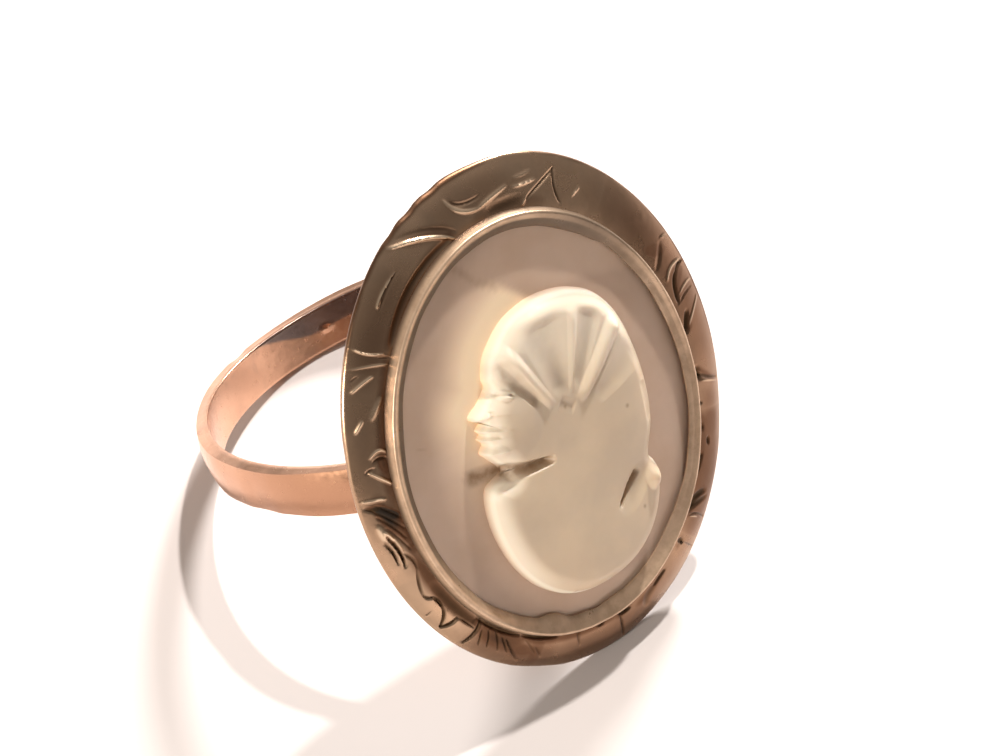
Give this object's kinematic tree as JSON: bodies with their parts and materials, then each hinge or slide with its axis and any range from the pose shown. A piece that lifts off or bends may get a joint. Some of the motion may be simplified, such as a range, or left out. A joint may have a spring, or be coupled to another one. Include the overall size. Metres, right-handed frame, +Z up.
{
  "type": "cameo ring",
  "caption": "Finger ring with a plain narrow band, an oval dished border plate and a burnished bezel round a carved shell cameo of a bust in profile.",
  "frame": {"origin": "middle of the footprint of the ring lying on its side, on the surface it rests on", "axes": "+Z up; -Y the way the cameo faces, leaning back; +X to the right of the cameo seen from its front; the finger axis leans from +Z towards +Y"},
  "size_m": [0.0182, 0.0208, 0.0183],
  "materials": {
    "rose_gold": "worn rose gold, polished on the band and tarnished brown on the border",
    "shell": "satin carved shell, cream over a pinkish beige ground"
  },
  "bodies": {
    "root": {"ring_mount": "rose_gold", "cameo": "shell"}
  },
  "joints": []
}
